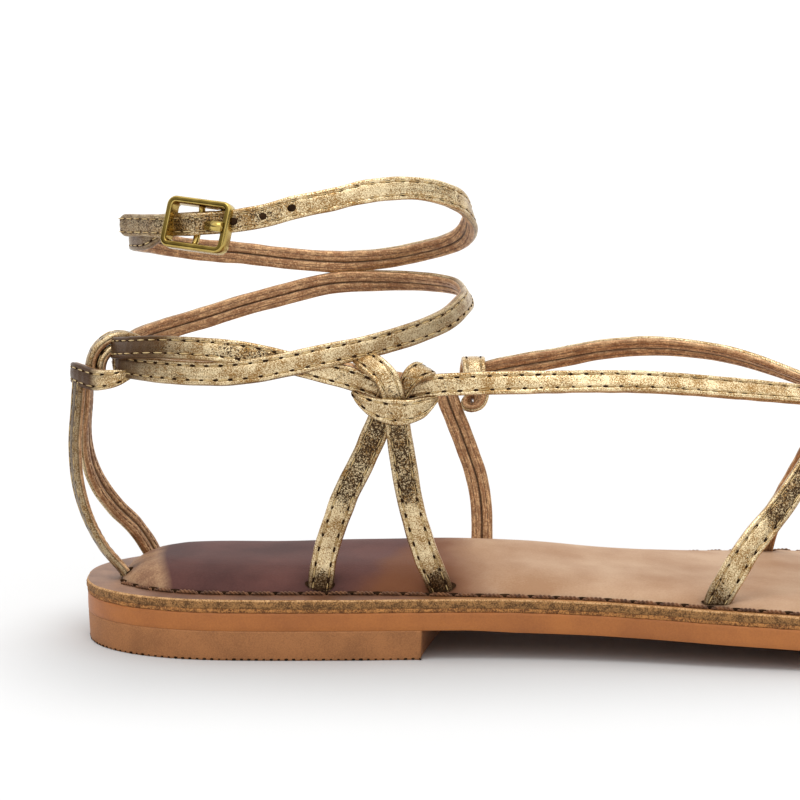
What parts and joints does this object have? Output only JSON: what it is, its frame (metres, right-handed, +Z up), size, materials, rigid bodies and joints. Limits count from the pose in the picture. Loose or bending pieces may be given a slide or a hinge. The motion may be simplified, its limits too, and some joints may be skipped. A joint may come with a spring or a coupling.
{
  "type": "gladiator sandal",
  "caption": "Flat right-foot sandal with a layered sole, a padded insole and narrow knotted straps round heel, ankle and instep, closed by a buckle.",
  "frame": {"origin": "on the floor, under the middle of the sandal's box", "axes": "+X towards the toe, +Y towards the inner side of the foot, +Z up from the floor"},
  "size_m": [0.2494, 0.0808, 0.103],
  "materials": {
    "heel_stack": "satin, polished edge",
    "outsole_leather": "satin, polished edge",
    "midsole_board": "rough",
    "footbed_leather": "satin with a raw edge",
    "insole_leather": "satin, worn",
    "strap_leather": "metallic foil with fine cracks",
    "buckle_brass": "polished"
  },
  "bodies": {
    "root": {"heel_lift": "heel_stack", "outsole": "outsole_leather", "midsole": "midsole_board", "footbed": "footbed_leather", "insole_pad": "insole_leather", "upper": "strap_leather", "buckle_frame": "buckle_brass", "buckle_prong": "buckle_brass"}
  },
  "joints": []
}
